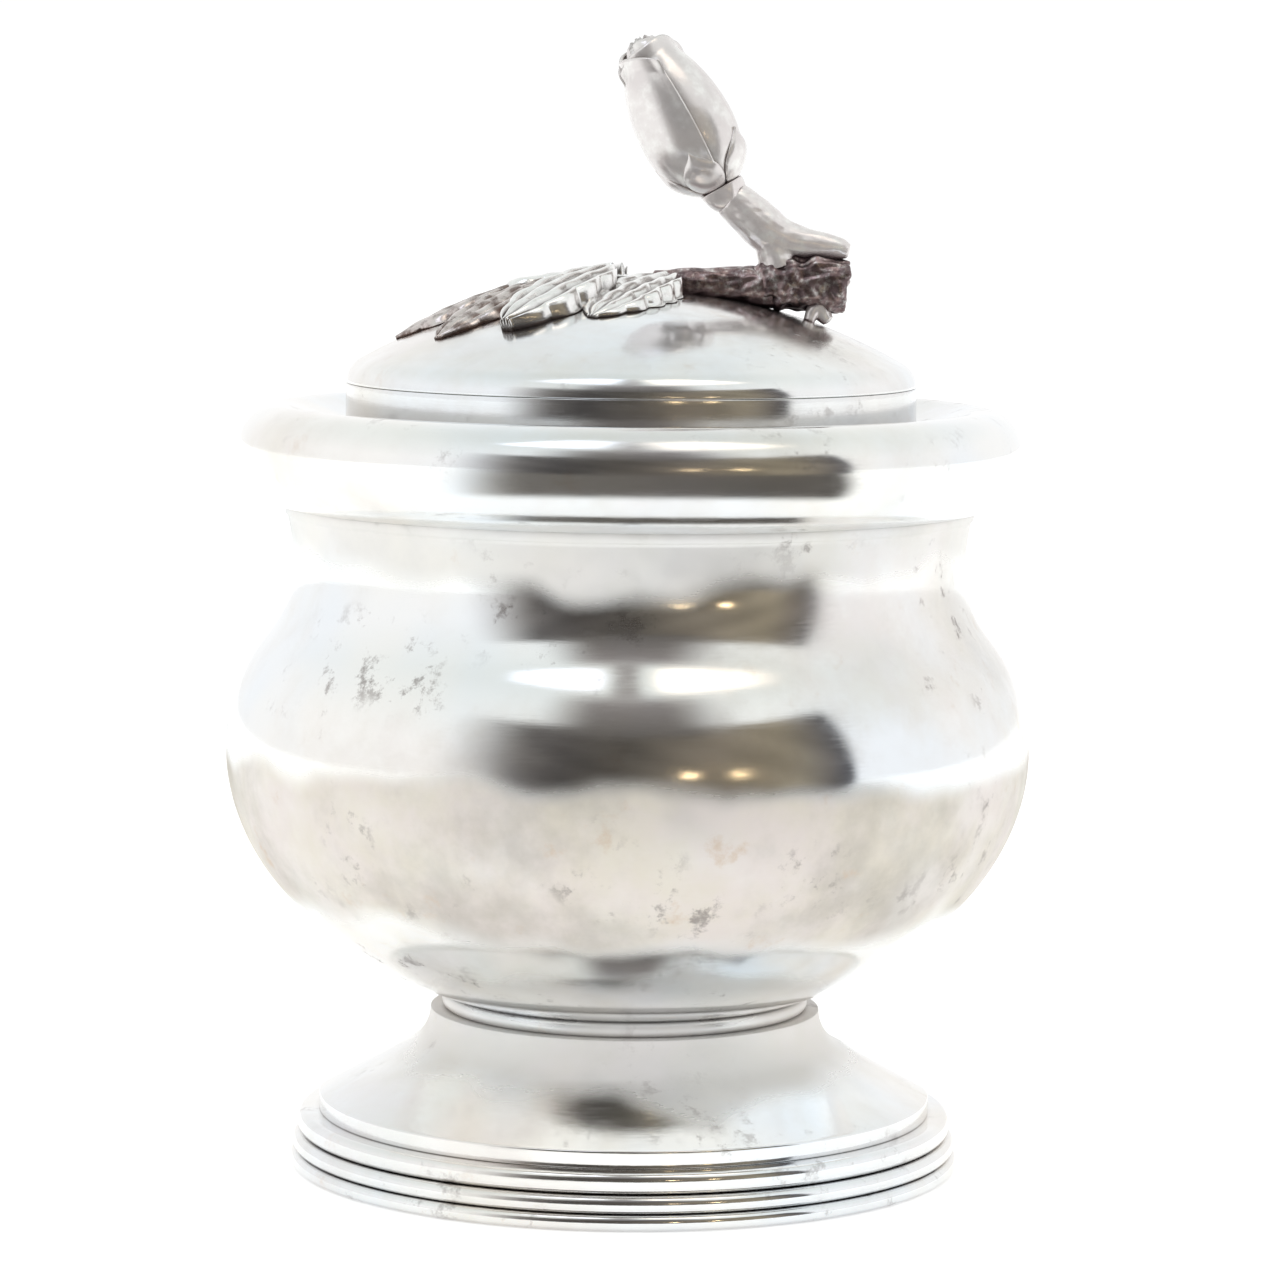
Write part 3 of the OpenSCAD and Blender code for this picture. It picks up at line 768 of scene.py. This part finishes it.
def build_finial():
    """The leaf spray, the cut branch and the rosebud, each in silver as worn as it is on the old casting. Three
    leaves get a darker copy of the leaf silver as painted shade.
    """
    leaf_metal = chased("leaf_silver", bright=(0.93, 0.92, 0.91), dark=(0.10, 0.078, 0.07),
                        depth=2.4 * MM, dark_share=0.08, rough=0.16, grain=0.9 * MM)
    # A darker copy of the leaf silver: painted shade for the leaves that turn away from the light. Its hollows
    # are oxide, as on the other leaves.
    leaf_metal_painted_shade = chased("leaf_silver_painted_shade", bright=(0.66, 0.60, 0.58), dark=(0.12, 0.075, 0.062),
                            depth=3.4 * MM, dark_share=0.8, rough=0.2, grain=0.9 * MM)
    bark_metal = chased("branch_silver", bright=(0.36, 0.27, 0.27), dark=(0.085, 0.058, 0.062),
                        depth=1.6 * MM, dark_share=0.8, rough=0.34, grain=0.7 * MM)
    stem_metal = chased("stem_silver", bright=(0.78, 0.73, 0.72), dark=(0.24, 0.18, 0.18),
                        depth=1.3 * MM, dark_share=0.12, rough=0.24, grain=1.6 * MM, film=0.45)
    bud_metal = chased("bud_silver", bright=(0.74, 0.70, 0.69), dark=(0.30, 0.25, 0.23),
                       depth=0.6 * MM, dark_share=0.06, rough=0.22, grain=2.4 * MM, film=0.35)
    turned("boss", "spray_boss", "lid", leaf_metal)
    for node, teeth, rise, metal in (
            ("leaf_tip", 4, 1.6, leaf_metal_painted_shade), ("leaf_front_left", 4, 1.7, leaf_metal_painted_shade),
            ("leaf_front_middle", 4, 1.6, leaf_metal), ("leaf_front_right", 5, 1.9, leaf_metal),
            ("leaf_back_left", 4, 1.6, leaf_metal_painted_shade), ("leaf_back_right", 4, 1.5, leaf_metal)):
        leaf(node, teeth, rise * MM, metal)
    build_stalk(leaf_metal)
    branch_pieces(bark_metal, stem_metal)
    bud = Bud()
    heart(bud, bud_metal)
    petal(bud, "petal_back", bud.inner, 20, 175, 0.965, bud_metal, bulge=0.25 * MM, seed=1.0)
    petal(bud, "petal_right", bud.inner, 200, 176, 0.955, bud_metal, bulge=0.45 * MM, seed=2.2)
    petal(bud, "petal_left", bud.radius - 0.1 * MM, 108, 172, 0.93, bud_metal, seed=3.1)
    sepals(bud, bud_metal)
    hip(bud, stem_metal)


def build_stalk(material):
    """The stalk of the spray, over the crown of the dome."""
    start = -0.8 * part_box("spray_boss")[1].x
    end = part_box("leaf_stalk")[0].x
    count = 7
    sway, height = 0.5 * MM, 1.3 * MM
    path = [tuple(on_dome(start + (end - start) * i / (count - 1), sway * math.sin(2.1 * i), height))
            for i in range(count)]
    radii = [(1.25 - 0.03 * i) * MM for i in range(count)]
    fused("leaf_stalk_cast", "leaf_stalk", [tube(path, radii)], material, 0.06 * MM, 61)


# ---------------------------------------------------------------- stage, light and camera

ROOM_R = 0.72
MID_Z = 0.055
FRONT_ARC = (-56, 66)
LAMP_AZIMUTHS = (17, 31)
LAMP_HALF_WIDTH = 2.0
LAMP_RISE = (6, 8.2)
CARD_STEPS = 48
FLOOR_REACH = 3.0

DARK_SHELF, PALE_SHELF = (0.12, 0.112, 0.105), (0.32, 0.30, 0.30)
COLUMN = (0.34, 0.325, 0.32)
PALE_TABLE, DARK_TABLE = (0.20, 0.185, 0.165), (0.10, 0.092, 0.085)
LAMP = (9.5, 7.2, 4.2)
COOL_WINDOW = (1.9, 2.0, 2.25)
WARM_PANEL = (2.0, 1.86, 1.68)


def glow(name):
    """A material that shines with the mesh's own tone, and is clear where the tone's alpha is low."""
    material = bpy.data.materials.new(name)
    material.use_nodes = True
    tree = material.node_tree
    tree.nodes.remove(tree.nodes["Principled BSDF"])
    tone = tree.nodes.new("ShaderNodeVertexColor")
    tone.layer_name = "tone"
    light = tree.nodes.new("ShaderNodeEmission")
    clear = tree.nodes.new("ShaderNodeBsdfTransparent")
    blend = tree.nodes.new("ShaderNodeMixShader")
    tree.links.new(tone.outputs["Color"], light.inputs["Color"])
    tree.links.new(tone.outputs["Alpha"], blend.inputs["Fac"])
    tree.links.new(clear.outputs[0], blend.inputs[1])
    tree.links.new(light.outputs[0], blend.inputs[2])
    tree.links.new(blend.outputs[0], tree.nodes["Material Output"].inputs["Surface"])
    return material


def graded(low, high, value):
    """A colour between two, at a share from 0 to 1."""
    return tuple(a + (b - a) * value for a, b in zip(low, high))


def card(name, place, tone, across, up, soft):
    """A sheet that only reflections show. place(across, up) gives a point and tone(share across, share up) a
    colour. soft has the shares over which it fades out: at its start and end across, then up."""
    steps = CARD_STEPS
    points, colours = [], []
    for i in range(steps + 1):
        for j in range(steps + 1):
            u, v = i / steps, j / steps
            points.append(place(across[0] + (across[1] - across[0]) * u, up[0] + (up[1] - up[0]) * v))
            fade = [1.0 if share <= 0 else smooth_share(gap, 0, share)
                    for gap, share in zip((u, 1 - u, v, 1 - v), soft)]
            colours += (*tone(u, v), math.prod(fade))
    faces = [(a, a + 1, a + steps + 2, a + steps + 1)
             for a in (i * (steps + 1) + j for i in range(steps) for j in range(steps))]
    mesh = bpy.data.meshes.new(name)
    mesh.from_pydata(points, [], faces)
    mesh.color_attributes.new("tone", "FLOAT_COLOR", "POINT").data.foreach_set("color", colours)
    mesh.materials.append(glow(name))
    sheet = bpy.data.objects.new(name, mesh)
    bpy.context.scene.collection.objects.link(sheet)
    sheet.visible_camera = False
    sheet.visible_diffuse = False
    sheet.visible_shadow = False
    sheet.visible_transmission = False


def on_room(radius):
    """Places points on a sphere round the object, by azimuth from -Y and elevation in degrees."""
    def place(azimuth, elevation):
        a, e = math.radians(azimuth), math.radians(elevation)
        out = radius * math.cos(e)
        return (out * math.sin(a), -out * math.cos(a), MID_Z + radius * math.sin(e))
    return place


def on_floor(azimuth, radius):
    """Places points just above the floor, by azimuth from -Y in degrees and distance."""
    a = math.radians(azimuth)
    return (radius * math.sin(a), -radius * math.cos(a), 0.2 * MM)


def room_tone(u, v):
    """The dim side of the room: grey at its left end, dark, then warm brown, and near black at the right."""
    stops = ((0.0, (0.22, 0.21, 0.21)), (0.2, (0.14, 0.13, 0.125)), (0.3, (0.075, 0.069, 0.067)),
             (0.48, (0.10, 0.09, 0.078)), (0.66, (0.20, 0.175, 0.14)), (0.84, (0.31, 0.27, 0.20)),
             (0.95, (0.12, 0.11, 0.11)), (1.0, (0.05, 0.055, 0.065)))
    for (at, low), (end, high) in zip(stops, stops[1:]):
        if u <= end:
            clutter = 1 + 0.22 * math.sin(23 * u + 5 * v) * math.sin(11 * v + 7 * u)
            return tuple(c * clutter for c in graded(low, high, (u - at) / (end - at)))
    return stops[-1][1]


def build_floor():
    """A pale floor that shines a little, so that the object's shadow stays faint."""
    floor = bpy.data.materials.new("floor")
    floor.use_nodes = True
    surface = floor.node_tree.nodes["Principled BSDF"]
    surface.inputs["Base Color"].default_value = (0.90, 0.90, 0.90, 1)
    surface.inputs["Roughness"].default_value = 0.9
    surface.inputs["Emission Color"].default_value = (1, 1, 1, 1)
    surface.inputs["Emission Strength"].default_value = 0.42
    far = FLOOR_REACH
    mesh = bpy.data.meshes.new("floor")
    mesh.from_pydata([(-far, -far, 0), (far, -far, 0), (far, far, 0), (-far, far, 0)], [], [(0, 1, 2, 3)])
    mesh.materials.append(floor)
    ground = bpy.data.objects.new("floor", mesh)
    bpy.context.scene.collection.objects.link(ground)


def build_room():
    """What the silver reflects: a dim room and table, a shelf and a tall shape above, lamps and windows."""
    card("room", on_room(ROOM_R), room_tone, across=FRONT_ARC, up=(-10, 38), soft=(0.22, 0.015, 0, 0.10))
    card("shelf", on_room(ROOM_R - 0.02), lambda u, v: graded(DARK_SHELF, PALE_SHELF, v),
         across=(-36, 40), up=(30, 60), soft=(0.35, 0.35, 0.02, 0.35))
    card("column", on_room(ROOM_R - 0.03), lambda u, v: COLUMN,
         across=(-10, 10), up=(46, 88), soft=(0.4, 0.4, 0.3, 0.2))
    card("table", on_floor, lambda u, v: graded(PALE_TABLE, DARK_TABLE, u),
         across=FRONT_ARC, up=(0.105, ROOM_R), soft=(0.22, 0.05, 0.04, 0))
    for azimuth in LAMP_AZIMUTHS:
        card(f"lamp_{azimuth}", on_room(ROOM_R - 0.05), lambda u, v: LAMP,
             across=(azimuth - LAMP_HALF_WIDTH, azimuth + LAMP_HALF_WIDTH), up=LAMP_RISE, soft=(0.3,) * 4)
    card("window", on_room(ROOM_R), lambda u, v: COOL_WINDOW, across=(-62, -8), up=(57, 84), soft=(0.2,) * 4)
    card("panel", on_room(ROOM_R), lambda u, v: WARM_PANEL, across=(10, 74), up=(55, 82), soft=(0.2,) * 4)


def build_world():
    """White surroundings that turn a little dimmer and cooler overhead."""
    world = bpy.data.worlds.new("surroundings")
    bpy.context.scene.world = world
    world.use_nodes = True
    tree = world.node_tree
    back = tree.nodes["Background"]
    place = tree.nodes.new("ShaderNodeTexCoord")
    split = tree.nodes.new("ShaderNodeSeparateXYZ")
    ramp = tree.nodes.new("ShaderNodeValToRGB")
    tree.links.new(place.outputs["Generated"], split.inputs[0])
    tree.links.new(split.outputs["Z"], ramp.inputs["Fac"])
    tree.links.new(ramp.outputs["Color"], back.inputs["Color"])
    stops = ((0.0, (1.0, 1.0, 1.0)), (0.3, (1.0, 1.0, 1.0)),
             (0.75, (0.88, 0.91, 0.90)), (1.0, (0.76, 0.80, 0.78)))
    ramp.color_ramp.elements[0].color = (*stops[0][1], 1)
    ramp.color_ramp.elements[1].position = stops[-1][0]
    ramp.color_ramp.elements[1].color = (*stops[-1][1], 1)
    for position, colour in stops[1:-1]:
        ramp.color_ramp.elements.new(position).color = (*colour, 1)
    back.inputs["Strength"].default_value = 1.05


def build_camera():
    """A long lens a little above the rim, as the object is seen."""
    distance, height = 0.550, 0.117
    pitch, roll, aside = math.radians(5.9), math.radians(0.62), 0.33 * MM
    data = bpy.data.cameras.new("camera")
    data.lens = 140.5
    data.sensor_width = 36
    data.clip_start, data.clip_end = 0.01, 20
    camera = bpy.data.objects.new("camera", data)
    bpy.context.scene.collection.objects.link(camera)
    turn = Matrix.Rotation(math.pi / 2 - pitch, 4, "X") @ Matrix.Rotation(roll, 4, "Z")
    camera.matrix_world = Matrix.Translation((aside, -distance, height)) @ turn
    bpy.context.scene.camera = camera


RIM_LOW_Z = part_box("rim_moulding")[0].z
FOOT_TOP_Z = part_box("joint_bead")[0].z
NECK_Z = FOOT_TOP_Z - 3.5 * MM
BOWL_SECTION = section("bowl_shell")[0]
BELLY_Z = max(BOWL_SECTION, key=lambda p: p[0])[1]
WAIST_Z = min((p for p in BOWL_SECTION if BELLY_Z < p[1] < RIM_LOW_Z), key=lambda p: p[0])[1]

build_bowl()
build_lid()
build_finial()
build_floor()
build_room()
build_world()
build_camera()
bpy.context.scene.view_settings.view_transform = "Standard"
